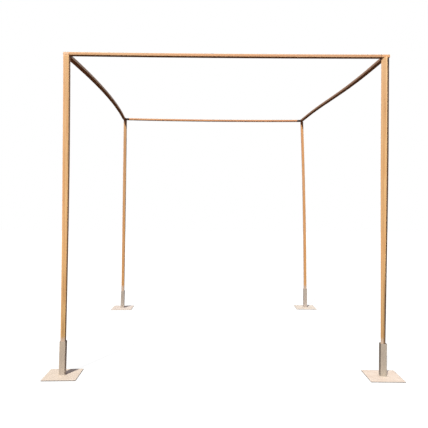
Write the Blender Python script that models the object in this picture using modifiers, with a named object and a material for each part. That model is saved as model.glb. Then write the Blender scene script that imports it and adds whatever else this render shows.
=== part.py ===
# Mandap frame: four timber posts in steel sockets, joined at the top by a ring of four timber beams.
# Metres, +Z up, front towards -Y, ground at Z = 0, origin under the middle of the plan.

import math

import bmesh
import bpy
from mathutils import Matrix, Vector

GAP = 0.0003            # left between two pieces that touch
HEIGHT = 3.047          # ground to the top of the beams

# Base plates and the sockets welded on them
PLATE_SIDE = 0.317
PLATE_THICK = 0.009
PLATE_EDGE = 0.0015     # bevel around the plate
SOCKET_WALL = 0.0025
SOCKET_CORNER = 0.004   # outer corner radius of the square tube
SOCKET_ROUND = 3        # segments in that corner

# Posts
POST_EDGE = 0.002
POST_CUTS = 12
POST_STEADY = 0.66      # share of the height above which a post keeps its full width

# Beams lie flat on the post heads
BEAM_TALL = 0.027
BEAM_WIDE = 0.050
BEAM_EDGE = 0.0015
BEAM_CUTS = 15
JOINT_ZONE = 0.11       # stretch at each end of a side beam that stays straight

# Angle brackets in the inner corners of the ring
BRACKET_LEG = 0.050
BRACKET_TALL = 0.022
BRACKET_THICK = 0.0025

# Block that tops the turned front right post, in line with the front beam
BLOCK_LONG = 0.074

UNDERSIDE = HEIGHT - BEAM_TALL
SHARP = math.radians(40)  # edges that turn more than this are eased

# One entry for each corner:
# foot        centre of the plate on the plan
# head        centre of the post's head on the plan
# plate_turn  turn of the plate and its socket, in degrees
# tube, tall  side and height of the socket
# lean        how far the socket leans towards +X for each metre of its height
# wide, slim  width of the post in its upper part and at its foot
# post_turn   turn of the post about its own length, in degrees
# bend        how far the post bends towards +X half way up
CORNERS = {
    "front_left": dict(
        foot=(-1.517, -1.533), head=(-1.485, -1.544), plate_turn=1.2, tube=0.058, tall=0.316, lean=0.028,
        wide=0.0545, slim=0.041, post_turn=0.0, bend=0.007),
    "front_right": dict(
        foot=(1.516, -1.595), head=(1.523, -1.583), plate_turn=-2.4, tube=0.058, tall=0.309, lean=0.0,
        wide=0.0585, slim=0.032, post_turn=-38.0, bend=0.002),
    "back_left": dict(
        foot=(-1.480, 1.557), head=(-1.454, 1.584), plate_turn=0.9, tube=0.054, tall=0.268, lean=0.028,
        wide=0.045, slim=0.041, post_turn=0.0, bend=0.002),
    "back_right": dict(
        foot=(1.469, 1.596), head=(1.397, 1.595), plate_turn=-2.2, tube=0.056, tall=0.298, lean=-0.004,
        wide=0.0385, slim=0.042, post_turn=0.0, bend=0.012),
}

# Middles of the side beams' two ends on the plan, and their widths there
LEFT_RUN = dict(start=(-1.487, -1.544), end=(-1.464, 1.584), wide_start=0.054, wide_end=0.040)
RIGHT_RUN = dict(start=(1.529, -1.583), end=(1.386, 1.595), wide_start=0.043, wide_end=0.044)

# Warp of each beam: bow towards +X at its middle, sway to +X in its near half and to -X in its far half,
# and sag at its middle
WARP = {
    "left_beam": dict(bow=0.060, sway=0.0, sag=0.0),
    "right_beam": dict(bow=0.0, sway=0.016, sag=0.009),
    "front_beam": dict(bow=0.0, sway=0.0, sag=0.005),
    "back_beam": dict(bow=0.0, sway=0.0, sag=0.010),
}

# Colour, roughness and metallic share of each kind of piece
FINISHES = {
    "post_pine": ((0.80, 0.50, 0.25), 0.65, 0.0),
    "beam_pine": ((0.74, 0.47, 0.25), 0.65, 0.0),
    "socket_paint": ((0.50, 0.43, 0.35), 0.45, 0.6),
    "plate_paint": ((0.90, 0.83, 0.73), 0.55, 0.0),
    "bracket_paint": ((0.06, 0.05, 0.045), 0.5, 0.7),
}


def clear_scene():
    for obj in list(bpy.data.objects):
        bpy.data.objects.remove(obj, do_unlink=True)


def material(name, finish_name):
    color, roughness, metallic = FINISHES[finish_name]
    mat = bpy.data.materials.new(name + "_" + finish_name)
    mat.use_nodes = True
    shader = mat.node_tree.nodes["Principled BSDF"]
    shader.inputs["Base Color"].default_value = (*color, 1.0)
    shader.inputs["Roughness"].default_value = roughness
    shader.inputs["Metallic"].default_value = metallic
    return mat


def finish(name, bm, finish_name, collection, bevel=0.0):
    mesh = bpy.data.meshes.new(name)
    bmesh.ops.recalc_face_normals(bm, faces=bm.faces)
    bm.to_mesh(mesh)
    bm.free()
    mesh.materials.append(material(name, finish_name))
    obj = bpy.data.objects.new(name, mesh)
    collection.objects.link(obj)
    if bevel:
        edge = obj.modifiers.new("Eased edges", "BEVEL")
        edge.width = bevel
        edge.segments = 1
        edge.limit_method = "ANGLE"
        edge.angle_limit = SHARP
    return obj


def unit_cube():
    bm = bmesh.new()
    bmesh.ops.create_cube(bm, size=1.0)
    return bm


def cut_across(bm, axis, share):
    # Cuts a unit cube across one axis, at a share of its length.
    point = Vector((0, 0, 0))
    point[axis] = share - 0.5
    normal = Vector((0, 0, 0))
    normal[axis] = 1.0
    bmesh.ops.bisect_plane(bm, geom=bm.verts[:] + bm.edges[:] + bm.faces[:], plane_co=point, plane_no=normal)


def cut_along(bm, axis, cuts, ends=0.0):
    # Equal slices between the two end stretches, which stay whole.
    if ends:
        cut_across(bm, axis, ends)
        cut_across(bm, axis, 1.0 - ends)
    for k in range(1, cuts + 1):
        cut_across(bm, axis, ends + (1.0 - 2.0 * ends) * k / (cuts + 1))


def post(name, corner, collection):
    # A square post: full width down to POST_STEADY of its height, then slimmer towards the foot. It leans
    # from the middle of its socket to its head, and bends a little between them.
    low = PLATE_THICK + GAP
    high = UNDERSIDE - GAP
    hold = PLATE_THICK + corner["tall"] / 2
    bm = unit_cube()
    cut_along(bm, 2, POST_CUTS)
    turn = Matrix.Rotation(math.radians(corner["post_turn"]), 2)
    foot = Vector(corner["foot"])
    head = Vector(corner["head"])
    for vert in bm.verts:
        share = vert.co.z + 0.5
        width = corner["slim"] + (corner["wide"] - corner["slim"]) * min(1.0, share / POST_STEADY)
        flat = turn @ (Vector(vert.co.xy) * width)
        level = low + (high - low) * share
        lean = (level - hold) / (high - hold)
        centre = foot + (head - foot) * lean
        bend = corner["bend"] * 4 * max(0.0, lean) * (1 - lean)
        vert.co = (centre.x + flat.x + bend, centre.y + flat.y, level)
    return finish(name, bm, "post_pine", collection, POST_EDGE)


def plate(name, corner, collection):
    bm = unit_cube()
    turn = Matrix.Rotation(math.radians(corner["plate_turn"]), 4, "Z")
    size = Matrix.Diagonal((PLATE_SIDE, PLATE_SIDE, PLATE_THICK, 1))
    move = Matrix.Translation((*corner["foot"], PLATE_THICK / 2))
    bmesh.ops.transform(bm, matrix=move @ turn @ size, verts=bm.verts)
    return finish(name, bm, "plate_paint", collection, PLATE_EDGE)


def socket(name, corner, collection):
    # A square tube: an open wall with rounded upright edges, thickened inwards.
    side = corner["tube"]
    tall = corner["tall"]
    bm = unit_cube()
    ends = [face for face in bm.faces if abs(face.normal.z) > 0.5]
    bmesh.ops.delete(bm, geom=ends, context="FACES_ONLY")
    bmesh.ops.transform(bm, matrix=Matrix.Diagonal((side, side, tall, 1)), verts=bm.verts)
    upright = [edge for edge in bm.edges if abs(edge.verts[0].co.z - edge.verts[1].co.z) > tall / 2]
    bmesh.ops.bevel(
        bm, geom=upright, offset=SOCKET_CORNER, segments=SOCKET_ROUND, profile=0.5, affect="EDGES")
    turn = Matrix.Rotation(math.radians(corner["plate_turn"]), 4, "Z")
    lean = Matrix.Identity(4)
    lean[0][2] = corner["lean"]
    move = Matrix.Translation((*corner["foot"], PLATE_THICK + GAP + tall / 2))
    bmesh.ops.transform(bm, matrix=move @ lean @ turn, verts=bm.verts)
    obj = finish(name, bm, "socket_paint", collection)
    wall = obj.modifiers.new("Tube wall", "SOLIDIFY")
    wall.thickness = SOCKET_WALL
    wall.offset = -1.0
    wall.use_even_offset = True
    return obj


def meet(point, along, wall):
    # Where a line on the plan meets a wall, given as a point and a direction.
    across = Vector((-wall[1].y, wall[1].x))
    return point + along * ((wall[0] - point).dot(across) / along.dot(across))


def beam(name, run, collection, start_wall, end_wall, straight=0.0):
    # A batten from start to end on the plan, trimmed at each end to lie along a wall.
    warp = WARP[name]
    start = Vector(run["start"])
    end = Vector(run["end"])
    along = (end - start).normalized()
    side = Vector((-along.y, along.x))
    ends = straight / (end - start).length
    bm = unit_cube()
    cut_along(bm, 0, BEAM_CUTS, ends)
    middle = UNDERSIDE + BEAM_TALL / 2
    for vert in bm.verts:
        share = vert.co.x + 0.5
        first = start + side * vert.co.y * run["wide_start"]
        last = end + side * vert.co.y * run["wide_end"]
        edge = (last - first).normalized()
        place = meet(first, edge, start_wall).lerp(meet(last, edge, end_wall), share)
        inner = min(1.0, max(0.0, (share - ends) / (1.0 - 2.0 * ends)))
        arch = 4 * inner * (1 - inner)
        aside = warp["bow"] * arch + warp["sway"] * math.sin(2 * math.pi * inner)
        vert.co = (place.x + aside, place.y, middle + vert.co.z * BEAM_TALL - warp["sag"] * arch)
    return finish(name, bm, "beam_pine", collection, BEAM_EDGE)


def block(name, along, side, left_end, collection):
    # A short offcut on the post head, in line with the front beam.
    bm = unit_cube()
    middle = UNDERSIDE + BEAM_TALL / 2
    for vert in bm.verts:
        place = left_end + along * BLOCK_LONG * (vert.co.x + 0.5) + side * vert.co.y * BEAM_WIDE
        vert.co = (place.x, place.y, middle + vert.co.z * BEAM_TALL)
    return finish(name, bm, "beam_pine", collection, BEAM_EDGE)


def bracket(name, corner_point, leg_x, leg_y, collection):
    # An angle: a square heel with a leg drawn out of two of its sides, laid along two directions on the plan.
    bm = unit_cube()
    heel = Matrix.Translation((BRACKET_THICK / 2, BRACKET_THICK / 2, 0)) @ Matrix.Diagonal(
        (BRACKET_THICK, BRACKET_THICK, BRACKET_TALL, 1))
    bmesh.ops.transform(bm, matrix=heel, verts=bm.verts)
    for axis in (0, 1):
        bm.normal_update()
        sides = [face for face in bm.faces if face.normal[axis] > 0.9]
        end = min(sides, key=lambda face: abs(face.calc_center_median()[1 - axis]))
        drawn = bmesh.ops.extrude_discrete_faces(bm, faces=[end])["faces"][0]
        step = Vector((0, 0, 0))
        step[axis] = BRACKET_LEG - BRACKET_THICK
        bmesh.ops.translate(bm, verts=drawn.verts[:], vec=step)
    lay = Matrix.Identity(4)
    lay.col[0] = (leg_x.x, leg_x.y, 0, 0)
    lay.col[1] = (leg_y.x, leg_y.y, 0, 0)
    lay.col[3] = (corner_point.x, corner_point.y, UNDERSIDE + BEAM_TALL / 2, 1)
    bmesh.ops.transform(bm, matrix=lay, verts=bm.verts)
    return finish(name, bm, "bracket_paint", collection)


def inner_face(run, end, inwards):
    # The inner side of a side beam at one of its ends, a gap clear of it, as a point and a direction.
    start, last = Vector(run["start"]), Vector(run["end"])
    line = (last - start).normalized()
    across = Vector((line.y, -line.x)) * inwards
    near = start + across * run["wide_start"] / 2
    far = last + across * run["wide_end"] / 2
    return (near if end == "start" else far) + across * GAP, (far - near).normalized()


def build_corner(key, corner, parts):
    post(key + "_post", corner, parts)
    socket(key + "_socket", corner, parts)
    plate(key + "_plate", corner, parts)


def build_ring(parts):
    head = {key: Vector(corner["head"]) for key, corner in CORNERS.items()}
    half = BEAM_WIDE / 2
    along_front = (head["front_right"] - head["front_left"]).normalized()
    along_back = (head["back_right"] - head["back_left"]).normalized()
    front_out = Vector((along_front.y, -along_front.x))
    back_out = Vector((-along_back.y, along_back.x))

    # The left beam runs over both of its posts, flush with the outer faces of the front and back beams.
    # The right beam does so at the back, and at the front it meets the back of the block.
    front_face = (head["front_left"] + front_out * half, along_front)
    back_face = (head["back_left"] + back_out * half, along_back)
    front_inner = (head["front_left"] - front_out * (half + GAP), along_front)
    back_inner = (head["back_left"] - back_out * (half + GAP), along_back)
    beam("left_beam", LEFT_RUN, parts, front_face, back_face, JOINT_ZONE)
    beam("right_beam", RIGHT_RUN, parts, front_inner, back_face, JOINT_ZONE)

    # The block is centred on the turned post, and the front beam ends against it.
    block_left = head["front_right"] - along_front * BLOCK_LONG / 2
    block_end = (block_left - along_front * GAP, front_out)
    block("front_right_block", along_front, -front_out, block_left, parts)

    left_near, left_far = inner_face(LEFT_RUN, "start", 1), inner_face(LEFT_RUN, "end", 1)
    right_near, right_far = inner_face(RIGHT_RUN, "start", -1), inner_face(RIGHT_RUN, "end", -1)
    widths = dict(wide_start=BEAM_WIDE, wide_end=BEAM_WIDE)
    front_run = dict(start=head["front_left"], end=head["front_right"], **widths)
    back_run = dict(start=head["back_left"], end=head["back_right"], **widths)
    beam("front_beam", front_run, parts, left_near, block_end)
    beam("back_beam", back_run, parts, left_far, right_far)

    # Angle brackets stand against the inner faces of the ring.
    corners = {
        "front_left": (front_inner, left_near, along_front, 1),
        "front_right": (front_inner, right_near, -along_front, 1),
        "back_left": (back_inner, left_far, along_back, -1),
        "back_right": (back_inner, right_far, -along_back, -1),
    }
    for key, (row, side_face, leg_x, way) in corners.items():
        point = meet(row[0], row[1], side_face)
        bracket(key + "_bracket", point, leg_x, side_face[1] * way, parts)


def build():
    clear_scene()
    parts = bpy.data.collections.new("mandap_frame")
    bpy.context.scene.collection.children.link(parts)
    for key, corner in CORNERS.items():
        build_corner(key, corner, parts)
    build_ring(parts)


build()
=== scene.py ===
# Bare mandap frame: slim pine posts in painted steel sockets, tied at the top by a ring of flat battens.
# The looks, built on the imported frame. Metres, +Z up, the front faces -Y.

import math
from functools import partial

import bmesh
import bpy
import numpy as np
from mathutils import Matrix, Vector, noise


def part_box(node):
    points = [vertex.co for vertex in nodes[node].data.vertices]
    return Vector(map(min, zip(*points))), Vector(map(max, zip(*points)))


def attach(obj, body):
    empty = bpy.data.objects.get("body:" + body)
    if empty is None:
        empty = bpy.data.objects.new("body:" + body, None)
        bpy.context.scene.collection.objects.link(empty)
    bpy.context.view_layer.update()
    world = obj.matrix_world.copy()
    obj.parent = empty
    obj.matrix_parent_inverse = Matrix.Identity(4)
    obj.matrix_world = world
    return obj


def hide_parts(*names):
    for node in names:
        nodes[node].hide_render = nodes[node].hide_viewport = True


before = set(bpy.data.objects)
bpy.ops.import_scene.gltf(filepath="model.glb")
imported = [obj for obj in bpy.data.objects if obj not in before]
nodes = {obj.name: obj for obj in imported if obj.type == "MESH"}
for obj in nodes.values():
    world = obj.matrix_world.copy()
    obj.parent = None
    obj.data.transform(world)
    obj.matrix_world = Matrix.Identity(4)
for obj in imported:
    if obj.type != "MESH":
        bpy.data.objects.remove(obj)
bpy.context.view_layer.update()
mm = 0.001
corners = ("front_left", "front_right", "back_left", "back_right")
print("frame loaded,", len(nodes), "nodes")


# Small helpers. Limits in degrees, in metres or as the share of a direction that lies along an axis

limits = {
    "merge": 0.02 * mm,     # closer points of a CAD mesh are one
    "flat": 12,             # triangles that turn less than this may join
    "skew": 50,             # and their quad may be this far from square
    "sharp": 30,            # an edge that turns more than this is an arris or a rim
    "square": 60,           # and one that turns more than this is a square corner
    "along": 0.95,
    "facing": 0.9,
    "across": 0.5,          # less than this runs across the axis
    "level": 1 * mm,        # points this close in height are at one level
    "centred": 0.1 * mm,    # a face with its middle this close to an axis lies on it
}


def linear(hexColour):
    # sRGB hex to the linear colour that sockets take
    shares = [int(hexColour[i:i + 2], 16) / 255 for i in (1, 3, 5)]
    return tuple(s / 12.92 if s <= 0.04045 else ((s + 0.055) / 1.055) ** 2.4 for s in shares) + (1.0,)


def addNode(tree, kind, settings=None, links=None):
    # settings: lower case names are properties, sockets go by name or number, stops fill a colour ramp
    node = tree.nodes.new("ShaderNode" + kind)
    for key, value in (settings or {}).items():
        if key == "stops":
            ramp = node.color_ramp
            for extra in range(len(value) - 2):
                ramp.elements.new(0.5)
            for element, (place, colour) in zip(ramp.elements, value):
                element.position = place
                element.color = colour if isinstance(colour, tuple) else (colour, colour, colour, 1.0)
        elif isinstance(key, str) and hasattr(node, key):
            setattr(node, key, value)
        else:
            node.inputs[key].default_value = value
    for key, source in (links or {}).items():
        tree.links.new(source, node.inputs[key])
    return node


def newMaterial(name):
    mat = bpy.data.materials.new(name)
    mat.use_nodes = True
    tree = mat.node_tree
    return mat, tree, tree.nodes["Principled BSDF"], partial(addNode, tree)


def mergedCopy(node):
    # a CAD node's mesh with its loose triangles merged back into quads
    bm = bmesh.new()
    bm.from_mesh(nodes[node].data)
    bmesh.ops.remove_doubles(bm, verts=bm.verts, dist=limits["merge"])
    bmesh.ops.join_triangles(
        bm, faces=bm.faces, angle_face_threshold=math.radians(limits["flat"]),
        angle_shape_threshold=math.radians(limits["skew"]))
    bm.normal_update()
    return bm


def sharpEdges(bm, angle=limits["sharp"]):
    return [edge for edge in bm.edges if edge.calc_face_angle(0) > math.radians(angle)]


def softenEdges(bm, edges, width, segments=1):
    bmesh.ops.bevel(
        bm, geom=edges, offset=width, segments=segments, profile=0.5, affect="EDGES", material=-1,
        clamp_overlap=True)
    bm.normal_update()


def alongShare(edge, axis):
    return abs((edge.verts[0].co - edge.verts[1].co).normalized()[axis])


def drawRing(bm, edges):
    # extrudes a ring of edges, returns its new points and its new ring
    drawn = bmesh.ops.extrude_edge_only(bm, edges=edges)["geom"]
    fresh = {item for item in drawn if isinstance(item, bmesh.types.BMVert)}
    ring = [item for item in drawn if isinstance(item, bmesh.types.BMEdge) and fresh.issuperset(item.verts)]
    return fresh, ring


def digIn(bm, depthOf):
    # sinks every point along its normal by its own depth
    digs = [depthOf(vert) for vert in bm.verts]
    for vert, dig in zip(bm.verts, digs):
        vert.co -= vert.normal * dig
    bm.normal_update()


def overSizes(place, sizes):
    # a place counted in lengths of its own for each direction, which noise then varies over
    return Vector(along / size for along, size in zip(place, sizes))


def addPiece(name, bm, material, slotName, replaced=None, sharpAngle=limits["sharp"]):
    mesh = bpy.data.meshes.new(name)
    bm.to_mesh(mesh)
    bm.free()
    mesh.materials.append(material)
    mesh.shade_smooth()
    mesh.set_sharp_from_angle(angle=math.radians(sharpAngle))
    piece = bpy.data.objects.new(name, mesh)
    bpy.context.scene.collection.objects.link(piece)
    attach(piece, "root")
    if replaced:
        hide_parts(replaced)


# Camera: a phone at standing eye height, a little left of the middle

camera = {
    "place": (-0.1938, -6.0055, 1.562),
    "lens": 39.51,      # mm
    "sensor": 36.0,     # mm wide
    "yaw": 1.305,       # degrees to the right of straight ahead
    "pitch": -0.346,    # degrees above the horizon
    "roll": 0.285,      # degrees, anticlockwise from behind
    "farthest": 200.0,
}


def addCamera():
    data = bpy.data.cameras.new("camera")
    data.lens = camera["lens"]
    data.sensor_width = camera["sensor"]
    data.clip_end = camera["farthest"]
    cam = bpy.data.objects.new("camera", data)
    bpy.context.scene.collection.objects.link(cam)
    turn = Matrix.Rotation(math.radians(-camera["yaw"]), 4, "Z")
    tilt = Matrix.Rotation(math.radians(90 + camera["pitch"]), 4, "X")
    roll = Matrix.Rotation(math.radians(camera["roll"]), 4, "Z")
    cam.matrix_world = Matrix.Translation(camera["place"]) @ turn @ tilt @ roll
    bpy.context.scene.camera = cam


addCamera()
print("camera placed")


# Studio: pale floor, one large key from the front left, a soft dome round the rest

studio = {
    "floor": 60.0,              # side of the floor
    "floorDrop": 0.5 * mm,      # below the plates
    "floorGlow": 0.94,
    "floorColour": "#5a5a58",   # what the lights add to the glow
    "keyStrength": 5.85,
    "keyAzimuth": 25.5,         # degrees left of the front
    "keyHeight": 50.0,          # degrees above the floor
    "keySpread": 3.0,           # degrees, softens the shadow edges
    "skyColour": (0.275, 0.265, 0.325),
    "backSky": (0.60, 0.57, 0.55),      # added behind the frame
    "backFrom": 0.45,           # share of a direction that points backwards, where this begins
    "sideSky": (0.11, 0.09, 0.08),      # added on the right
    "sideFrom": 0.2,            # and the same for the right
    "groundColour": (0.10, 0.066, 0.046),
    "horizonBlur": 0.08,        # share of a direction that points up, where the sky is full
}


def addFloor():
    bm = bmesh.new()
    bmesh.ops.create_grid(bm, x_segments=1, y_segments=1, size=studio["floor"] / 2)
    bmesh.ops.translate(bm, verts=bm.verts, vec=(0, 0, -studio["floorDrop"]))
    mesh = bpy.data.meshes.new("studio_floor")
    bm.to_mesh(mesh)
    bm.free()
    # matt white paper sheet, lit almost evenly so that shadows stay faint on it
    mat, tree, shader, add = newMaterial("studio_paper")
    shader.inputs["Base Color"].default_value = linear(studio["floorColour"])
    shader.inputs["Roughness"].default_value = 1.0
    shader.inputs["Specular IOR Level"].default_value = 0.0
    shader.inputs["Emission Color"].default_value = (1.0, 1.0, 1.0, 1.0)
    shader.inputs["Emission Strength"].default_value = studio["floorGlow"]
    mesh.materials.append(mat)
    floor = bpy.data.objects.new("studio_floor", mesh)
    bpy.context.scene.collection.objects.link(floor)
    floor.visible_diffuse = False
    floor.visible_glossy = False


def addKey():
    data = bpy.data.lights.new("key", "SUN")
    data.energy = studio["keyStrength"]
    data.angle = math.radians(studio["keySpread"])
    key = bpy.data.objects.new("key", data)
    bpy.context.scene.collection.objects.link(key)
    azimuth, height = math.radians(studio["keyAzimuth"]), math.radians(studio["keyHeight"])
    towards = Vector((-math.sin(azimuth), -math.cos(azimuth), math.tan(height)))
    key.matrix_world = towards.to_track_quat("Z", "Y").to_matrix().to_4x4()


def addWorld():
    # the lens sees white all round, the frame is lit by a dome that is dark below
    world = bpy.data.worlds.new("studio")
    world.use_nodes = True
    tree = world.node_tree
    tree.nodes.clear()
    add = partial(addNode, tree)
    coords = add("TexCoord")
    way = add("SeparateXYZ", links={0: coords.outputs["Generated"]}).outputs
    blur = studio["horizonBlur"]
    above = add("MapRange", {"From Min": -blur, "From Max": blur}, {"Value": way["Z"]}).outputs[0]
    behind = add("MapRange", {"From Min": studio["backFrom"]}, {"Value": way["Y"]}).outputs[0]
    beside = add("MapRange", {"From Min": studio["sideFrom"]}, {"Value": way["X"]}).outputs[0]
    adding = {"data_type": "RGBA", "blend_type": "ADD"}
    first = {**adding, 6: (*studio["skyColour"], 1), 7: (*studio["backSky"], 1)}
    sky = add("Mix", first, {0: behind}).outputs[2]
    sky = add("Mix", {**adding, 7: (*studio["sideSky"], 1)}, {0: beside, 6: sky}).outputs[2]
    ground = {"data_type": "RGBA", 6: (*studio["groundColour"], 1)}
    dome = add("Mix", ground, {0: above, 7: sky}).outputs[2]
    lighting = add("Background", links={"Color": dome}).outputs[0]
    white = add("Background", {"Color": (1, 1, 1, 1)}).outputs[0]
    lens = add("LightPath").outputs["Is Camera Ray"]
    pick = add("MixShader", links={0: lens, 1: lighting, 2: white}).outputs[0]
    add("OutputWorld", links={"Surface": pick})
    bpy.context.scene.world = world
    bpy.context.scene.view_settings.view_transform = "Standard"


addFloor()
addKey()
addWorld()
print("studio ready")


# Timber: planed pine posts and sawn pine battens

timberShape = {
    "arrisSoft": 0.7 * mm,      # rounds the edges of the CAD chamfers
    "step": 9 * mm,             # length of a mesh cell along the grain
    "long": 15 * mm,            # edges along the grain that are longer than this are cut
    "across": 4,                # cells across a face
    "wide": 12 * mm,            # edges across the grain that are longer than this are cut
    "wave": 0.35 * mm,          # how far a face wanders inwards
    "waveSizes": (30 * mm, 30 * mm, 260 * mm),
    "nickDeep": 0.6 * mm,       # dents along the arrises
    "nickSizes": (25 * mm, 25 * mm, 34 * mm),
    "nickLevel": 0.70,          # higher leaves fewer dents
    "nickGain": 1.6,
    "seedStep": (1.37, 0.71, 0),    # moves the noise from piece to piece
    "nickSeed": 3,              # and the dents' noise further
    "spineOrder": 6,
    "chamferSection": 0.93,     # what the section says on a chamfer
    "arrisSection": 0.9,        # from here on it is the arris
}

# length: 0 for X, 1 for Y, 2 for Z. turn: degrees about a post's own length. pith: where the growth rings
# are centred, in metres from the piece's own middle. sawn: how much the saw's cuts across the grain show.
# tones: bare wood at the foot or start, a third, two thirds and the head or end, then the very end, where the
# front beam's last tone is a painted shadow in the gap of its joint with the block. faces: painted light or
# shade on one side, as its axis, its sign, its tones and a share. A dark run down the right arris, given by
# its strength, is painted shade
timbers = {
    "front_left_post": {
        "slot": "post_timber", "length": 2, "turn": 0.0, "pith": (0.004, -0.058), "seed": 3, "sawn": 0.0,
        "tones": ("#c8a66f", "#e1b981", "#dfb57f", "#e5bf8b"), "faces": []},
    "front_right_post": {
        "slot": "post_timber", "length": 2, "turn": -38.0, "pith": (0.006, -0.061), "seed": 8, "sawn": 0.0,
        "tones": ("#c6a46f", "#d6ae79", "#d6ae78", "#dfbc8d"),
        # its right face is painted as shade, darkest at the head as the painted shadow under the block
        "faces": [(0, 1, ("#7d6342", "#947653", "#8a6c4a", "#452f1c"), 0.92)], "stain": 0.9},
    "back_left_post": {
        "slot": "post_timber", "length": 2, "turn": 0.0, "pith": (-0.040, 0.035), "seed": 14, "sawn": 0.0,
        "tones": ("#c79a62", "#c99c65", "#c49a68", "#c49d6f"), "faces": []},
    "back_right_post": {
        "slot": "post_timber", "length": 2, "turn": 0.0, "pith": (0.042, 0.028), "seed": 21, "sawn": 0.0,
        "tones": ("#d1a46c", "#d3a36a", "#d2a26d", "#d7a46d"), "faces": []},
    "front_beam": {
        "slot": "beam_timber", "length": 0, "turn": 0.0, "pith": (0.030, 0.052), "seed": 27, "sawn": 1.0,
        # its last tone is a painted shadow in the gap of its joint with the block
        "tones": ("#d6b88b", "#d5af83", "#d1ad85", "#cdab84", "#cdab84", "#7c5c43"), "faces": []},
    "back_beam": {
        "slot": "beam_timber", "length": 0, "turn": 0.0, "pith": (-0.024, 0.050), "seed": 33, "sawn": 1.0,
        "tones": ("#cda070", "#c99a6c", "#c8996a", "#c89868"), "faces": []},
    "left_beam": {
        "slot": "beam_timber", "length": 1, "turn": 0.0, "pith": (0.010, -0.048), "seed": 41, "sawn": 1.0,
        "tones": ("#c89468", "#c39266", "#c09064", "#be8e63"),
        # its inner face is painted pale, as painted light
        "faces": [(0, 1, ("#f4e4cd", "#efdcc4"), 1.0)]},
    "right_beam": {
        "slot": "beam_timber", "length": 1, "turn": 0.0, "pith": (0.014, 0.047), "seed": 46, "sawn": 1.0,
        "tones": ("#cda079", "#c89c76", "#c59972", "#c59870"),
        # its inner face is painted darker, as painted shade
        "faces": [(0, -1, ("#a8917a", "#a48b6f"), 0.85)]},
    "front_right_block": {
        "slot": "beam_timber", "length": 0, "turn": 0.0, "pith": (-0.020, 0.036), "seed": 52, "sawn": 1.0,
        "tones": ("#dfb98a", "#dfb98a", "#dfb98a", "#dfb98a"), "faces": []},
}

pine = {
    # the last two stops paint a shadow into the gap at the front beam's right end
    "toneStops": (0.12, 0.38, 0.65, 0.97, 0.9960, 0.9975),
    # the last two side stops paint the shadow under the block on the front right post's right face
    "sideStops": (0.1, 0.9, 0.972, 0.984),
    "sideMask": (0.955, 0.985),     # part of the section that takes a side's painted light or shade
    "acrossTints": ("#fff4ee", "#f6f3ee", "#f0efee", "#f8f6ee", "#fffdf2"),   # from one side to the other
    "seedShift": (1.7, 0.9, 2.3),
    # real growth rings are 3 to 5 mm apart. The broad ones are drawn so that they show from 4 m
    "ringGaps": {"broad": 13 * mm, "fine": 4.2 * mm},
    "ringStops": [(0.0, 0.1), (0.45, 0.0), (0.86, 1.0), (1.0, 0.1)],    # pale early wood, dark late wood
    "ringWander": 14 * mm,
    "ringSwell": 10.4 * mm,         # round a knot
    "wanderScale": (14, 14, 1.1),   # per metre: 71 mm across, 0.9 m along
    "wanderDetail": 3.0,
    "pithLean": (0.006, -0.004, 0),
    "knotCell": (90 * mm, 90 * mm, 460 * mm),   # one place for a knot in this much wood
    "knotLong": 1.4,                # its length, in widths
    "knotShare": 0.25,              # share of the places that hold one
    "knotCore": (5 * mm, 2.5 * mm),
    "knotSwell": (25 * mm, 0),
    # noises drawn out along the grain: scale per metre, detail, and the range of grey that shows. Streaks
    # are 11 mm wide and checks 7 mm apart. Fibres are 2 mm, coarser than real so that they show
    "drawn": {
        "streaks": ((90, 90, 1.6), 4.0, 0.36, 0.66),
        "checks": ((150, 150, 1.3), 1.0, 0.69, 0.715),
        "fibres": ((520, 520, 9), 2.0, 0.25, 0.75)},
    "sawGap": 5 * mm,
    "sawWander": 3.0,
    "arrisMask": (0.80, 0.97),
    "footMask": (385 * mm, 335 * mm),       # just above the sockets
    # where the painted shade run lies: across the face, then how far up from the foot
    "stainSide": (0.40, 0.66),      # from the middle of the face to its right side
    "stainTall": (1250 * mm, 580 * mm),
    # share, blend and tint, in the order in which they are laid
    "layers": {
        "broad": (0.30, "MULTIPLY", "#d3a27a"),
        "fine": (0.35, "MULTIPLY", "#e3bd97"),
        "streaks": (0.45, "MULTIPLY", "#e6c39c"),
        "checks": (0.55, "MIX", "#6f4c30"),     # hairline drying checks
        "knot": (0.80, "MIX", "#8a5a34"),
        "arris": (0.45, "MIX", "#efd3ae"),      # rubbed pale by wear, partly a painted highlight
        "endGrain": (0.60, "MIX", "#f0cda6"),
        "damp": (0.85, "MIX", "#b8a18c"),       # greyed by the wet
        # painted shade down the front right post's right arris
        "stain": (1.0, "MIX", "#7a5c3e")},
    "roughness": (0.56, 0.72),
    "relief": {"fine": 0.6, "checks": -1.5},
    "sawRelief": 0.9,
    "bump": (0.5, 0.3 * mm),        # strength and height
}


def spineOf(points, length):
    # smooth line through the middle of a piece, as two functions of its long coordinate
    others = [axis for axis in range(3) if axis != length]
    order = timberShape["spineOrder"]
    return others, [np.poly1d(np.polyfit(points[:, length], points[:, axis], order)) for axis in others]


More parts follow.
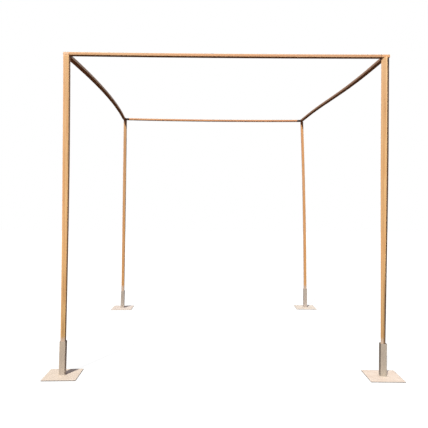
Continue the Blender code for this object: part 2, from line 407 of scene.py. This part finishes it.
def timberMesh(name, look):
    bm = mergedCopy(name)
    length = look["length"]
    others, spine = spineOf(np.array([vert.co for vert in bm.verts]), length)
    angle = math.radians(look["turn"])

    def ownAxes(vector):
        # a vector's parts along the piece's own two faces
        a, b = vector[others[0]], vector[others[1]]
        return a * math.cos(angle) + b * math.sin(angle), b * math.cos(angle) - a * math.sin(angle)

    def offset(place):
        flat = place.copy()
        for axis, line in zip(others, spine):
            flat[axis] -= line(place[length])
        return ownAxes(flat)

    softenEdges(bm, sharpEdges(bm), timberShape["arrisSoft"])

    # section runs from -1 to 1 between opposite faces, endGrain is 1 on the sawn ends
    section = bm.verts.layers.float_vector.new("section")
    endGrain = bm.verts.layers.float.new("endGrain")
    for vert in bm.verts:
        u, v = offset(vert.co)
        vert[section] = Vector((math.copysign(1, u), math.copysign(1, v), 0)) * timberShape["chamferSection"]
    for face in bm.faces:
        if abs(face.normal[length]) > limits["facing"]:
            for vert in face.verts:
                vert[endGrain] = 1.0
            continue
        for side, share in enumerate(ownAxes(face.normal)):
            if abs(share) > limits["along"]:
                for vert in face.verts:
                    vert[section][side] = math.copysign(1, share)

    # cells short enough for waves and dents
    long = [edge for edge in bm.edges
            if alongShare(edge, length) > limits["along"] and edge.calc_length() > timberShape["long"]]
    longest = max(edge.calc_length() for edge in long)
    cuts = max(1, round(longest / timberShape["step"]) - 1)
    bmesh.ops.subdivide_edges(bm, edges=long, cuts=cuts, use_grid_fill=True)
    wide = [edge for edge in bm.edges
            if alongShare(edge, length) < limits["across"] and edge.calc_length() > timberShape["wide"]]
    bmesh.ops.subdivide_edges(bm, edges=wide, cuts=timberShape["across"] - 1, use_grid_fill=True)
    bm.normal_update()

    # straightened coordinates that the grain follows, then waves and dented arrises, inwards only
    grain = bm.verts.layers.float_vector.new("grain")
    straight = {vert: (*offset(vert.co), vert.co[length]) for vert in bm.verts}
    for vert, place in straight.items():
        vert[grain] = place
    start = Vector(look["seed"] * share for share in timberShape["seedStep"])

    def depthOf(vert):
        place = overSizes(straight[vert], timberShape["waveSizes"])
        dig = timberShape["wave"] * (0.5 + 0.5 * noise.noise(start + place))
        corner = min(abs(vert[section].x), abs(vert[section].y))
        if corner > timberShape["arrisSection"] and vert[endGrain] < 0.5:
            place = overSizes(straight[vert], timberShape["nickSizes"])
            grey = noise.noise(start * timberShape["nickSeed"] + place)
            dent = max(0.0, grey * timberShape["nickGain"] - timberShape["nickLevel"])
            dig += timberShape["nickDeep"] * dent / (1 - timberShape["nickLevel"])
        return dig

    digIn(bm, depthOf)
    return bm


def knotMasks(add, own):
    # the nearest point of a stretched cell grid, kept in some cells only: the core and the swelling round it
    cell = pine["knotCell"]
    squeezed = add("Mapping", {"Scale": tuple(1 / size for size in cell)}, {"Vector": own}).outputs[0]
    cells = add("TexVoronoi", {"Scale": 1.0}, {"Vector": squeezed}).outputs
    away = add("VectorMath", {"operation": "SUBTRACT"}, {0: squeezed, 1: cells["Position"]}).outputs[0]
    real = (*cell[:2], cell[2] / pine["knotLong"])
    away = add("VectorMath", {"operation": "MULTIPLY", 1: real}, {0: away}).outputs[0]
    apart = add("VectorMath", {"operation": "LENGTH"}, {0: away}).outputs["Value"]
    dice = add("SeparateColor", links={0: cells["Color"]}).outputs[0]
    held = add("Math", {"operation": "LESS_THAN", 1: pine["knotShare"]}, {0: dice}).outputs[0]
    masks = []
    for outer, inner in (pine["knotCore"], pine["knotSwell"]):
        fall = {"interpolation_type": "SMOOTHSTEP", "From Min": outer, "From Max": inner}
        near = add("MapRange", fall, {"Value": apart}).outputs[0]
        masks.append(add("Math", {"operation": "MULTIPLY"}, {0: near, 1: held}).outputs[0])
    return masks


def ringMasks(add, look, grain, own, swell):
    # distance to the pith, wandering along the length and swelling round the knots
    across, up = look["pith"]
    lean = {"Location": (-across, -up, 0), "Rotation": pine["pithLean"]}
    leaned = add("Mapping", lean, {"Vector": grain}).outputs[0]
    flat = add("VectorMath", {"operation": "MULTIPLY", 1: (1, 1, 0)}, {0: leaned}).outputs[0]
    radius = add("VectorMath", {"operation": "LENGTH"}, {0: flat}).outputs["Value"]
    slow = add("Mapping", {"Scale": pine["wanderScale"]}, {"Vector": own}).outputs[0]
    wander = add("TexNoise", {"Scale": 1.0, "Detail": pine["wanderDetail"]}, {"Vector": slow}).outputs["Fac"]
    for source, reach in ((wander, pine["ringWander"]), (swell, pine["ringSwell"])):
        radius = add("Math", {"operation": "MULTIPLY_ADD", 1: reach}, {0: source, 2: radius}).outputs[0]
    masks = {}
    for band, gap in pine["ringGaps"].items():
        phase = add("Math", {"operation": "DIVIDE", 1: gap}, {0: radius}).outputs[0]
        phase = add("Math", {"operation": "FRACT"}, {0: phase}).outputs[0]
        masks[band] = add("ValToRGB", {"stops": pine["ringStops"]}, {0: phase}).outputs[0]
    return masks


def drawnMasks(add, own):
    masks = {}
    for mark, (scale, detail, faint, full) in pine["drawn"].items():
        spread = add("Mapping", {"Scale": scale}, {"Vector": own}).outputs[0]
        grey = add("TexNoise", {"Scale": 1.0, "Detail": detail}, {"Vector": spread}).outputs["Fac"]
        masks[mark] = add("MapRange", {"From Min": faint, "From Max": full}, {"Value": grey}).outputs[0]
    return masks


def pineMaterial(name, look):
    # Bare planed pine: warm honey with darker latewood bands, few small knots, a dull silky face that is
    # paler on its arrises, partly rubbed wear and partly painted highlight. Some sides carry painted light or
    # shade
    mat, tree, shader, add = newMaterial("pine_" + name)
    grain, section = (
        add("Attribute", {"attribute_name": mark}).outputs["Vector"] for mark in ("grain", "section"))
    shift = tuple(look["seed"] * share for share in pine["seedShift"])
    own = add("Mapping", {"Location": shift}, {"Vector": grain}).outputs[0]
    far = add("SeparateXYZ", links={0: grain}).outputs["Z"]
    low, high = (side[look["length"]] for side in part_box(name))
    place = add("MapRange", {"From Min": low, "From Max": high}, {"Value": far}).outputs[0]
    core, swell = knotMasks(add, own)
    masks = {"knot": core, **ringMasks(add, look, grain, own, swell), **drawnMasks(add, own)}
    masks["endGrain"] = add("Attribute", {"attribute_name": "endGrain"}).outputs["Fac"]

    def ramp(marks, tones, source):
        stops = [(mark, linear(tone)) for mark, tone in zip(marks, tones)]
        return add("ValToRGB", {"stops": stops}, {0: source}).outputs[0]

    def smoothMask(ends, source, full=1.0):
        reach = {"From Min": ends[0], "From Max": ends[1], "To Max": full}
        return add("MapRange", {"interpolation_type": "SMOOTHSTEP", **reach}, {"Value": source}).outputs[0]

    # bare wood from one end to the other, painted light or shade on single sides, and a slight change across
    # the piece
    colour = ramp(pine["toneStops"], look["tones"], place)
    sides = add("SeparateXYZ", links={0: section}).outputs
    for side, sign, tones, share in look["faces"]:
        faint, full = (end * sign for end in pine["sideMask"])
        reach = {"From Min": faint, "From Max": full, "To Max": share}
        mask = add("MapRange", reach, {"Value": sides[side]}).outputs[0]
        tone = ramp(pine["sideStops"], tones, place)
        colour = add("Mix", {"data_type": "RGBA"}, {0: mask, 6: colour, 7: tone}).outputs[2]
    across = add("MapRange", {"From Min": -1.0, "From Max": 1.0}, {"Value": sides["X"]}).outputs[0]
    tints = pine["acrossTints"]
    tint = ramp([k / (len(tints) - 1) for k in range(len(tints))], tints, across)
    whole = {"data_type": "RGBA", "blend_type": "MULTIPLY", 0: 1.0}
    colour = add("Mix", whole, {6: colour, 7: tint}).outputs[2]

    # arrises, wet feet and the painted shade run, then all the layers in turn
    size = add("VectorMath", {"operation": "ABSOLUTE"}, {0: section}).outputs[0]
    size = add("SeparateXYZ", links={0: size}).outputs
    corner = add("Math", {"operation": "MINIMUM"}, {0: size["X"], 1: size["Y"]}).outputs[0]
    outer, inner = pine["arrisMask"]
    arris = add("MapRange", {"From Min": outer, "From Max": inner}, {"Value": corner}).outputs[0]
    masks["arris"] = add("Math", {"operation": "MULTIPLY"}, {0: arris, 1: masks["streaks"]}).outputs[0]
    if look["length"] == 2:
        masks["damp"] = smoothMask(pine["footMask"], far)
    if "stain" in look:
        side = smoothMask(pine["stainSide"], sides["X"])
        run = smoothMask(pine["stainTall"], far, look["stain"])
        masks["stain"] = add("Math", {"operation": "MULTIPLY"}, {0: side, 1: run}).outputs[0]
    for mark, (share, blend, tint) in pine["layers"].items():
        if mark in masks:
            factor = add("Math", {"operation": "MULTIPLY", 1: share}, {0: masks[mark]}).outputs[0]
            coat = {"data_type": "RGBA", "blend_type": blend, 7: linear(tint)}
            colour = add("Mix", coat, {0: factor, 6: colour}).outputs[2]
    tree.links.new(colour, shader.inputs["Base Color"])

    smooth, rough = pine["roughness"]
    rough = add("MapRange", {"To Min": smooth, "To Max": rough}, {"Value": masks["fibres"]}).outputs[0]
    tree.links.new(rough, shader.inputs["Roughness"])
    saw = add("Math", {"operation": "MULTIPLY", 1: 1 / pine["sawGap"]}, {0: far}).outputs[0]
    wander = {"operation": "MULTIPLY_ADD", 1: pine["sawWander"]}
    saw = add("Math", wander, {0: masks["fibres"], 2: saw}).outputs[0]
    saw = add("Math", {"operation": "PINGPONG", 1: 0.5}, {0: saw}).outputs[0]
    relief = masks["fibres"]
    heights = [(masks[mark], height) for mark, height in pine["relief"].items()]
    for source, height in heights + [(saw, pine["sawRelief"] * look["sawn"])]:
        relief = add("Math", {"operation": "MULTIPLY_ADD", 1: height}, {0: source, 2: relief}).outputs[0]
    strength, tall = pine["bump"]
    bump = add("Bump", {"Strength": strength, "Distance": tall}, {"Height": relief}).outputs[0]
    tree.links.new(bump, shader.inputs["Normal"])
    return mat


for name, look in timbers.items():
    addPiece(name + "_pine", timberMesh(name, look), pineMaterial(name, look), look["slot"], name)
print("timber done")


# Sockets: square tube, brush painted, welded to the plates

tubeShape = {
    "rimSoft": 0.5 * mm,
    "rimSegments": 2,
    "wornTall": 2 * mm,     # the mouth's rubbed band
    "long": 50 * mm,        # edges up the tube that are longer than this are cut
    "step": 8 * mm,
    "wide": 20 * mm,        # edges across it that are longer than this are cut
    "across": 6,
    "wave": 0.25 * mm,      # dents of the thin wall, inwards
    "waveSizes": (25 * mm, 25 * mm, 55 * mm),
    "smoothBelow": 35,      # degrees
}

# leg: reach of the bead on the wall and on the plate. profile: its round, as shares of the leg outwards and
# upwards, and whether the point is melted in sideways and downwards
weld = {
    "leg": 4.5 * mm,
    "sunk": 0.3 * mm,       # how far it is melted into the tube and the plate
    "gap": 0.3 * mm,        # from the tube's foot down to the plate
    "profile": (
        (0.0, 1.0, 1, 0), (0.0, 1.0, 0, 0), (0.34, 0.90, 0, 0), (0.66, 0.66, 0, 0), (0.90, 0.34, 0, 0),
        (1.0, 0.0, 0, 0), (1.0, 0.0, 0, 1), (0.0, 0.0, 1, 1)),
    "step": 1.6 * mm,       # along the seam
    "cutFrom": (10 * mm, 2.4 * mm),     # the sides' edges are cut first, then the corners'
    "outwards": 5 * mm,     # a wall further out from the middle than this, the way it faces, is an outer one
    "ripple": 4.0 * mm,     # one drop of weld metal
    "rippleShare": 0.10,
    "lumps": 3.1,           # round the seam
    "unevenShare": 0.22,
    "smoothBelow": 50,      # degrees
}

# body: paint by height, from foot to mouth. flank: how much darker the left side is painted, as shade
sockets = {
    "front_left": {"body": ("#a79a8a", "#af9f8b"), "flank": 0.0},
    # its left side is painted darker, as shade
    "front_right": {"body": ("#a19686", "#a79a8a"), "flank": 0.55},
    "back_left": {"body": ("#a3978a", "#a19587"), "flank": 0.0},
    "back_right": {"body": ("#a99c90", "#a79b8c"), "flank": 0.0},
}

enamel = {
    "tall": (0.01, 0.31),   # heights at which the body's two tones are pure
    "runs": (110, 110, 9),  # brush runs, per metre: 9 mm wide and 110 mm tall
    "runsDetail": 4.0,
    "runsShow": (0.45, 0.7),
    "grit": 300.0,          # per metre: 3 mm, coarser than real so that it shows
    "gritDetail": 3.0,
    "gritShow": (0.42, 0.58),
    # share and tint, in the order in which they are laid
    "layers": {
        "runs": (0.35, "#8f8271"),
        # painted shade on the left side
        "flank": (1.0, "#6f6558"),
        "worn": (0.7, "#7c7670"),
        "inside": (0.85, "#2e2822")},   # dust and bare scale within the mouth, deepened as painted shade
    "roughness": (0.40, 0.60),
    "bump": (0.2, 0.2 * mm),
}


def tubeMesh(node):
    bm = mergedCopy(node)
    rims = [edge for edge in sharpEdges(bm, limits["square"]) if alongShare(edge, 2) < limits["across"]]
    softenEdges(bm, rims, tubeShape["rimSoft"], tubeShape["rimSegments"])
    points = np.array([vert.co for vert in bm.verts])
    lowest, highest = points[:, 2].min(), points[:, 2].max()
    nearEnds = (np.abs(points[:, 2] - tall) < limits["level"] for tall in (lowest, highest))
    ends = [Vector(points[near].mean(axis=0)) for near in nearEnds]

    def outwards(face):
        centre = face.calc_center_median()
        middle = ends[0].lerp(ends[1], (centre.z - lowest) / (highest - lowest))
        return face.normal.dot(centre - middle) > 0

    # inside is 1 on the inner wall, worn is 1 round the mouth, flank is 1 on the left side, where shade is
    # painted
    inside, worn, flank = (bm.verts.layers.float.new(mark) for mark in ("inside", "worn", "flank"))
    for face in bm.faces:
        if abs(face.normal.z) > limits["across"]:
            continue
        for vert in face.verts:
            if not outwards(face):
                vert[inside] = 1.0
            elif face.normal.x < -limits["facing"]:
                vert[flank] = 1.0
    long = [edge for edge in bm.edges
            if alongShare(edge, 2) > limits["along"] and edge.calc_length() > tubeShape["long"]]
    cuts = round(long[0].calc_length() / tubeShape["step"]) - 1
    bmesh.ops.subdivide_edges(bm, edges=long, cuts=cuts, use_grid_fill=True)
    wide = [edge for edge in bm.edges
            if alongShare(edge, 2) < limits["across"] and edge.calc_length() > tubeShape["wide"]]
    bmesh.ops.subdivide_edges(bm, edges=wide, cuts=tubeShape["across"] - 1, use_grid_fill=True)
    bm.normal_update()
    for vert in bm.verts:
        vert[worn] = float(vert.co.z > highest - tubeShape["wornTall"])

    def depthOf(vert):
        return tubeShape["wave"] * (0.5 + 0.5 * noise.noise(overSizes(vert.co, tubeShape["waveSizes"])))

    digIn(bm, depthOf)
    return bm


def weldMesh(node):
    # a bead all round the foot: the tube's outer edge is cut fine, drawn out into the bead's round and closed
    bm = mergedCopy(node)
    lowest = min(vert.co.z for vert in bm.verts)
    foot = [vert.co for vert in bm.verts if vert.co.z < lowest + limits["level"]]
    middle = sum(foot, Vector()) / len(foot)
    reach = max((place - middle).length for place in foot)
    outer = {edge for edge in sharpEdges(bm, limits["square"])
             if all(vert.co.z < lowest + limits["level"] for vert in edge.verts)
             and any(face.normal.dot(face.calc_center_median() - middle) > weld["outwards"]
                     for face in edge.link_faces)}
    keep = {vert for edge in outer for vert in edge.verts}
    bmesh.ops.delete(bm, geom=list(bm.faces), context="FACES_ONLY")
    bmesh.ops.delete(bm, geom=[edge for edge in bm.edges if edge not in outer], context="EDGES")
    bmesh.ops.delete(bm, geom=[vert for vert in bm.verts if vert not in keep], context="VERTS")
    for shortest in weld["cutFrom"]:
        edges = [edge for edge in bm.edges if edge.calc_length() > shortest]
        if edges:
            cuts = round(edges[0].calc_length() / weld["step"]) - 1
            bmesh.ops.subdivide_edges(bm, edges=edges, cuts=max(1, cuts))

    # each point's place on the seam, the way outwards there and the size of the bead
    seam = {}
    for vert in bm.verts:
        ahead, behind = [edge.other_vert(vert).co for edge in vert.link_edges]
        side = (ahead - behind).cross(Vector((0, 0, 1))).normalized()
        side *= math.copysign(1, side.dot(vert.co - middle))
        angle = math.atan2(vert.co.y - middle.y, vert.co.x - middle.x)
        lump = noise.noise(Vector((math.cos(angle), math.sin(angle), middle.x)) * weld["lumps"])
        drop = math.sin(angle * reach * 2 * math.pi / weld["ripple"])
        leg = weld["leg"] * (1 + weld["unevenShare"] * lump + weld["rippleShare"] * drop)
        seam[vert] = (vert.co.copy(), side, leg)
    first = ring = list(bm.edges)
    for step, (out, up, deepOut, deepUp) in enumerate(weld["profile"]):
        if step:
            fresh, ring = drawRing(bm, ring)
            for vert in fresh:
                near = (edge.other_vert(vert) for edge in vert.link_edges)
                seam[vert] = next(seam[old] for old in near if old not in fresh)
        for vert in {vert for edge in ring for vert in edge.verts}:
            place, side, leg = seam[vert]
            level = lowest - weld["gap"] + up * leg - deepUp * weld["sunk"]
            vert.co = Vector((place.x, place.y, level)) + side * (out * leg - deepOut * weld["sunk"])
    bmesh.ops.bridge_loops(bm, edges=first + ring)
    bmesh.ops.recalc_face_normals(bm, faces=bm.faces)
    return bm


def enamelMaterial(corner, look):
    # Mild steel tube under a brushed beige-grey enamel: satin, faintly streaked from top to bottom, dark
    # inside from dust and painted shade, rubbed to grey round the mouth. The front right tube's left side is
    # painted darker as shade
    mat, tree, shader, add = newMaterial("brushed_enamel_" + corner)
    coords = add("TexCoord").outputs["Object"]
    masks = {}
    for mark in ("inside", "worn", "flank"):
        masks[mark] = add("Attribute", {"attribute_name": mark}).outputs["Fac"]
    height = add("SeparateXYZ", links={0: coords}).outputs["Z"]
    low, high = enamel["tall"]
    place = add("MapRange", {"From Min": low, "From Max": high}, {"Value": height}).outputs[0]
    stops = [(k, linear(tone)) for k, tone in enumerate(look["body"])]
    colour = add("ValToRGB", {"stops": stops}, {0: place}).outputs[0]
    runs = add("Mapping", {"Scale": enamel["runs"]}, {"Vector": coords}).outputs[0]
    runs = add("TexNoise", {"Scale": 1.0, "Detail": enamel["runsDetail"]}, {"Vector": runs}).outputs["Fac"]
    faint, full = enamel["runsShow"]
    masks["runs"] = add("MapRange", {"From Min": faint, "From Max": full}, {"Value": runs}).outputs[0]
    grit = {"Scale": enamel["grit"], "Detail": enamel["gritDetail"]}
    grit = add("TexNoise", grit, {"Vector": coords}).outputs["Fac"]
    faint, full = enamel["gritShow"]
    grit = add("MapRange", {"From Min": faint, "From Max": full}, {"Value": grit}).outputs[0]
    masks["worn"] = add("Math", {"operation": "MULTIPLY"}, {0: grit, 1: masks["worn"]}).outputs[0]
    for mark, (share, tint) in enamel["layers"].items():
        share *= look.get(mark, 1.0)
        factor = add("Math", {"operation": "MULTIPLY", 1: share}, {0: masks[mark]}).outputs[0]
        colour = add("Mix", {"data_type": "RGBA", 7: linear(tint)}, {0: factor, 6: colour}).outputs[2]
    tree.links.new(colour, shader.inputs["Base Color"])
    smooth, rough = enamel["roughness"]
    rough = add("MapRange", {"To Min": smooth, "To Max": rough}, {"Value": runs}).outputs[0]
    tree.links.new(rough, shader.inputs["Roughness"])
    strength, tall = enamel["bump"]
    bump = add("Bump", {"Strength": strength, "Distance": tall}, {"Height": runs}).outputs[0]
    tree.links.new(bump, shader.inputs["Normal"])
    return mat


for corner in corners:
    node = corner + "_socket"
    paint = enamelMaterial(corner, sockets[corner])
    addPiece(node + "_tube", tubeMesh(node), paint, "socket_steel", node, tubeShape["smoothBelow"])
    addPiece(node + "_weld", weldMesh(node), paint, "socket_steel", None, weld["smoothBelow"])
print("sockets done")


# Base plates: cut steel under cream paint

plateShape = {
    "edgeSoft": 0.5 * mm,
    "long": 100 * mm,       # edges that are longer than this are cut
    "cells": 24,
    "wave": 0.35 * mm,
    "waveSize": 70 * mm,
    "rimFacing": 0.8,       # a face that looks up or down less than this is on the rim
}

# body and mottle: the paint. edge: the cut sides, where the paint is thin over the steel
plates = {
    "front_left": {"body": "#c1b2a0", "mottle": "#b8a996", "edge": "#776d65"},
    "front_right": {"body": "#c7b8a7", "mottle": "#bfad9b", "edge": "#8f867d"},
    "back_left": {"body": "#c0b3a6", "mottle": "#b9aa9b", "edge": "#b0a597"},
    "back_right": {"body": "#c2b7a8", "mottle": "#b9ac9c", "edge": "#a1978b"},
}

cream = {
    "patches": (14.0, 4.0),         # scale per metre, so 71 mm, and detail
    "strokes": (7, 150, 40),        # per metre: brush strokes from side to side, 7 mm wide
    "strokesDetail": 3.0,
    "strokesShare": 0.5,
    "stops": (0.55, 0.95),
    "grit": (90.0, 5.0),            # 11 mm, with finer grit in it
    "specks": (0.66, 0.72, 0.0, 0.25),      # from and to grey, from and to share of the edge's tone
    "bare": (0.3, 0.6, 0.82, 1.0),          # the same on the rim
    "roughness": 0.55,
    "bump": (0.4, 0.25 * mm),
}


def plateMesh(node):
    bm = mergedCopy(node)
    softenEdges(bm, sharpEdges(bm), plateShape["edgeSoft"])
    rim = bm.verts.layers.float.new("rim")
    for face in bm.faces:
        if abs(face.normal.z) < plateShape["rimFacing"]:
            for vert in face.verts:
                vert[rim] = 1.0
    long = [edge for edge in bm.edges if edge.calc_length() > plateShape["long"]]
    bmesh.ops.subdivide_edges(bm, edges=long, cuts=plateShape["cells"] - 1, use_grid_fill=True)
    bm.normal_update()

    def depthOf(vert):
        # the underside stays flat
        grey = noise.noise(Vector((vert.co.x, vert.co.y, 0)) / plateShape["waveSize"])
        return plateShape["wave"] * (0.5 + 0.5 * grey) * (vert.co.z > limits["level"])

    digIn(bm, depthOf)
    return bm


def creamMaterial(corner, look):
    # Cut steel plate under a thick cream paint: matt, laid on in brush strokes, thin and grey on the edges
    mat, tree, shader, add = newMaterial("cream_paint_" + corner)
    coords = add("TexCoord").outputs["Object"]
    rim = add("Attribute", {"attribute_name": "rim"}).outputs["Fac"]
    patches, grit = (
        add("TexNoise", {"Scale": scale, "Detail": detail}, {"Vector": coords}).outputs["Fac"]
        for scale, detail in (cream["patches"], cream["grit"]))
    runs = add("Mapping", {"Scale": cream["strokes"]}, {"Vector": coords}).outputs[0]
    runs = add("TexNoise", {"Scale": 1.0, "Detail": cream["strokesDetail"]}, {"Vector": runs}).outputs["Fac"]
    laid = {"operation": "MULTIPLY_ADD", 1: cream["strokesShare"]}
    laid = add("Math", laid, {0: runs, 2: patches}).outputs[0]
    stops = list(zip(cream["stops"], (linear(look["mottle"]), linear(look["body"]))))
    colour = add("ValToRGB", {"stops": stops}, {0: laid}).outputs[0]
    ends = ("From Min", "From Max", "To Min", "To Max")
    specks, bare = (
        add("MapRange", dict(zip(ends, reach)), {"Value": grit}).outputs[0]
        for reach in (cream["specks"], cream["bare"]))
    bare = add("Math", {"operation": "MULTIPLY"}, {0: bare, 1: rim}).outputs[0]
    for mask in (specks, bare):
        colour = add("Mix", {"data_type": "RGBA", 7: linear(look["edge"])}, {0: mask, 6: colour}).outputs[2]
    tree.links.new(colour, shader.inputs["Base Color"])
    shader.inputs["Roughness"].default_value = cream["roughness"]
    strength, tall = cream["bump"]
    bump = add("Bump", {"Strength": strength, "Distance": tall}, {"Height": runs}).outputs[0]
    tree.links.new(bump, shader.inputs["Normal"])
    return mat


for corner in corners:
    node = corner + "_plate"
    addPiece(node + "_steel", plateMesh(node), creamMaterial(corner, plates[corner]), "plate_steel", node)
print("plates done")


# Angle brackets and the screws that hold them and the beams

bracketShape = {
    "thick": 2.5 * mm,
    "tipRound": (5 * mm, 5),        # corners of the two legs' ends: radius and segments
    "tipWide": 3 * mm,              # a level edge that is shorter than this is one of them
    "bendOuter": (2.2 * mm, 4),
    "bendInner": (1.2 * mm, 3),
    "edgeSoft": (0.35 * mm, 2),
    "heelNear": 0.5 * mm,           # an upright edge this close to the heel is the outer bend
    "bendNear": 4 * mm,             # and this close the inner one
    "screws": (19 * mm, 39 * mm),   # from the heel along each leg
}

screw = {
    "slotHalf": 0.45 * mm,
    "slotDeep": 1.0 * mm,
    "slotTaper": 0.7,
    "rings": ((1.95, 2.1), (2.9, 1.75), (3.5, 0.9), (3.5, -0.3)),   # radius and height in mm
    "sunk": 2.1 * mm,       # how deep a beam's screw is driven
    "pairHalf": 9 * mm,     # half the spacing of a beam's two screws, each way
    "headTall": 5 * mm,     # the top of a post that says where its middle is
    "turns": {"corner": 0.7, "along": 1.1, "beam": 0.9},    # radians, so that no two slots look alike
}

# what lies over each post's head
beamOver = {"front_left": "left_beam", "back_left": "left_beam", "back_right": "right_beam",
            "front_right": "front_right_block"}

coats = {
    # Steel angle in a dark japanned coat: dull brown-black. Its screws are the same
    "japanned_steel": {"tones": ("#2c2622", "#3a322c"), "metallic": 0.4, "roughness": 0.5},
    # Zinc-plated wood screws on top of the beams: dull pale grey, faintly yellow
    "zinc_plate": {"tones": ("#8f8b80", "#a5a297"), "metallic": 1.0, "roughness": 0.42},
}
coatPatches = {"Scale": 160.0, "Detail": 3.0}   # per metre: 6 mm
coatStops = (0.3, 0.7)


def legsOf(corner):
    # the heel of a bracket and the directions of its two legs, on the plan
    ways = Vector((1 if "left" in corner else -1, 1 if "front" in corner else -1))
    points = [vert.co.xy for vert in nodes[corner + "_bracket"].data.vertices]
    heel = min(points, key=lambda place: ways.dot(place))
    tips = [max(points, key=lambda place: sign * (ways.x * place.x - ways.y * place.y)) for sign in (1, -1)]
    return heel, [(tip - heel).normalized() for tip in tips]


def bracketMesh(corner):
    bm = mergedCopy(corner + "_bracket")
    heel = legsOf(corner)[0]
    square = sharpEdges(bm, limits["square"])
    tips = [edge for edge in square
            if alongShare(edge, 2) < limits["across"] and edge.calc_length() < bracketShape["tipWide"]]
    tall = [edge for edge in square if alongShare(edge, 2) > limits["along"]]
    away = {edge: (edge.verts[0].co.xy - heel).length for edge in tall}
    outer = [edge for edge in tall if away[edge] < bracketShape["heelNear"]]
    inner = [edge for edge in tall if bracketShape["heelNear"] <= away[edge] < bracketShape["bendNear"]]
    for edges, shape in ((tips, "tipRound"), (outer, "bendOuter"), (inner, "bendInner")):
        softenEdges(bm, [edge for edge in edges if edge.is_valid], *bracketShape[shape])
    softenEdges(bm, sharpEdges(bm, limits["square"]), *bracketShape["edgeSoft"])
    return bm


def screwMesh():
    # a pan head with a cross slot, facing +Z, seated at Z = 0
    bm = bmesh.new()
    bmesh.ops.create_grid(bm, x_segments=3, y_segments=3, size=0.5)
    radius, top = (value * mm for value in screw["rings"][0])
    half = screw["slotHalf"]
    for vert in bm.verts:
        flat = vert.co.xy
        if vert.is_boundary:
            vert.co = (*(flat.normalized() * radius), top)
        else:
            vert.co = (math.copysign(half, flat.x), math.copysign(half, flat.y), top)
    ring = [edge for edge in bm.edges if edge.is_boundary]
    cross = [face for face in bm.faces
             if min(abs(share) for share in face.calc_center_median().xy) < limits["centred"]]
    for wide, level in screw["rings"][1:]:
        fresh, ring = drawRing(bm, ring)
        for vert in fresh:
            vert.co = (*(vert.co.xy.normalized() * wide * mm), level * mm)
    bmesh.ops.holes_fill(bm, edges=ring, sides=0)
    sunk = bmesh.ops.extrude_face_region(bm, geom=cross)["geom"]
    bmesh.ops.delete(bm, geom=[face for face in cross if face.is_valid], context="FACES")
    slotFloor = [item for item in sunk if isinstance(item, bmesh.types.BMVert)]
    bmesh.ops.translate(bm, verts=slotFloor, vec=(0, 0, -screw["slotDeep"]))
    bmesh.ops.scale(bm, verts=slotFloor, vec=(screw["slotTaper"], screw["slotTaper"], 1))
    bmesh.ops.recalc_face_normals(bm, faces=bm.faces)
    mesh = bpy.data.meshes.new("screw_head")
    bm.to_mesh(mesh)
    bm.free()
    return mesh


def screwSet(places):
    # several screws in one mesh, each given by its seat, its facing and the turn of its slot
    bm = bmesh.new()
    for seat, facing, turn in places:
        before = len(bm.verts)
        bm.from_mesh(headMesh)
        bm.verts.ensure_lookup_table()
        lay = Matrix.Translation(seat) @ facing.to_track_quat("Z", "X").to_matrix().to_4x4()
        bmesh.ops.transform(bm, matrix=lay @ Matrix.Rotation(turn, 4, "Z"), verts=bm.verts[before:])
    return bm


def coatMaterial(name):
    look = coats[name]
    mat, tree, shader, add = newMaterial(name)
    coords = add("TexCoord").outputs["Object"]
    patches = add("TexNoise", coatPatches, {"Vector": coords}).outputs["Fac"]
    stops = [(stop, linear(tone)) for stop, tone in zip(coatStops, look["tones"])]
    colour = add("ValToRGB", {"stops": stops}, {0: patches}).outputs[0]
    tree.links.new(colour, shader.inputs["Base Color"])
    shader.inputs["Roughness"].default_value = look["roughness"]
    shader.inputs["Metallic"].default_value = look["metallic"]
    return mat


japanned = coatMaterial("japanned_steel")
zinc = coatMaterial("zinc_plate")
headMesh = screwMesh()
turns = screw["turns"]
for number, corner in enumerate(corners):
    node = corner + "_bracket"
    heel, legs = legsOf(corner)
    level = sum(side[2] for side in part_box(node)) / 2
    places = []
    for leg, other in (legs, legs[::-1]):
        for step, far in enumerate(bracketShape["screws"]):
            seat = heel + leg * far + other * bracketShape["thick"]
            turn = turns["corner"] * number + turns["along"] * step + leg.x
            places.append((Vector((*seat, level)), Vector((*other, 0)), turn))
    addPiece(node + "_angle", bracketMesh(corner), japanned, "bracket_steel", node)
    addPiece(node + "_screws", screwSet(places), japanned, "bracket_steel")

# two screws through the beam into each post head
places = []
for number, (corner, beam) in enumerate(beamOver.items()):
    points = np.array([vert.co for vert in nodes[corner + "_post"].data.vertices])
    head = points[points[:, 2] > points[:, 2].max() - screw["headTall"]].mean(axis=0)
    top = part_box(beam)[1][2] - screw["sunk"]
    for sign in (-1, 1):
        seat = Vector((head[0] + sign * screw["pairHalf"], head[1] - sign * screw["pairHalf"], top))
        places.append((seat, Vector((0, 0, 1)), turns["beam"] * number + sign))
addPiece("beam_screws", screwSet(places), zinc, "bracket_steel")
print("brackets and screws done")
